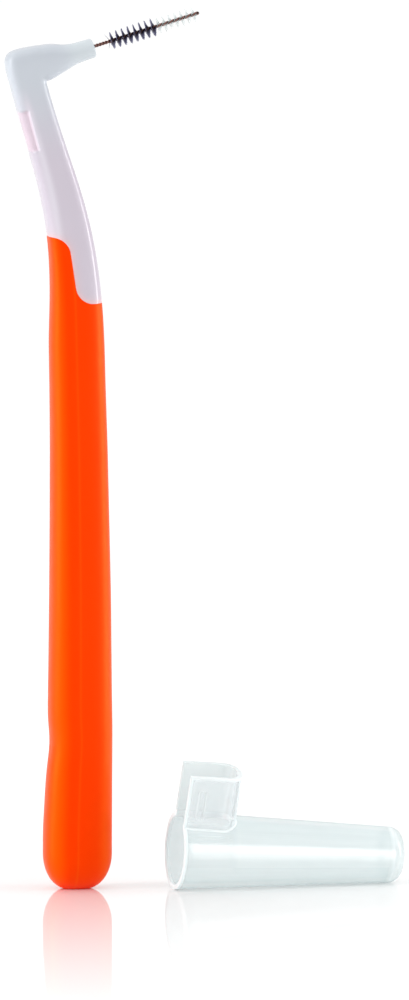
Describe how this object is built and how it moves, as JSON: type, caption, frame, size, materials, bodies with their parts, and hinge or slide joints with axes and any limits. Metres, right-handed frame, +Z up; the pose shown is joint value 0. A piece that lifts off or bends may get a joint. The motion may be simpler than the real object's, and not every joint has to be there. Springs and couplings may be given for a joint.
{
  "type": "interdental brush",
  "caption": "Angled interdental brush: long two-tone handle, leaning neck, twisted-wire brush on a short boss, and a clear push-on cap lying beside it.",
  "frame": {"origin": "centre of the small flat under the foot of the grip, on the surface that the brush stands on", "axes": "+Z up along the grip, +X the way the brush head points, so the profile lies in the XZ plane and the cap lies in front, at -Y"},
  "size_m": [0.0539, 0.0147, 0.1194],
  "materials": {
    "neck_white": "satin cool white moulding",
    "grip_orange": "smooth satin orange moulding",
    "wire_metal": "coppery brown drawn wire",
    "filament_dark": "dark slate nylon filament",
    "filament_pale": "clear to white nylon filament",
    "cap_clear": "clear glossy moulding"
  },
  "bodies": {
    "brush": {"neck": "neck_white", "grip": "grip_orange", "wire": "wire_metal", "dark_tuft_1": "filament_dark", "dark_tuft_2": "filament_dark", "dark_tuft_3": "filament_dark", "dark_tuft_4": "filament_dark", "dark_tuft_5": "filament_dark", "dark_tuft_6": "filament_dark", "dark_tuft_7": "filament_dark", "dark_tuft_8": "filament_dark", "pale_tuft_1": "filament_pale", "pale_tuft_2": "filament_pale", "pale_tuft_3": "filament_pale", "pale_tuft_4": "filament_pale", "pale_tuft_5": "filament_pale", "pale_tuft_6": "filament_pale", "pale_tuft_7": "filament_pale"},
    "cap": {"cap": "cap_clear"}
  },
  "joints": [
    {"name": "cap_pull", "type": "slide", "parent": "brush", "child": "cap", "axis": [1, 0, 0], "range_m": [0, 0.032]}
  ]
}
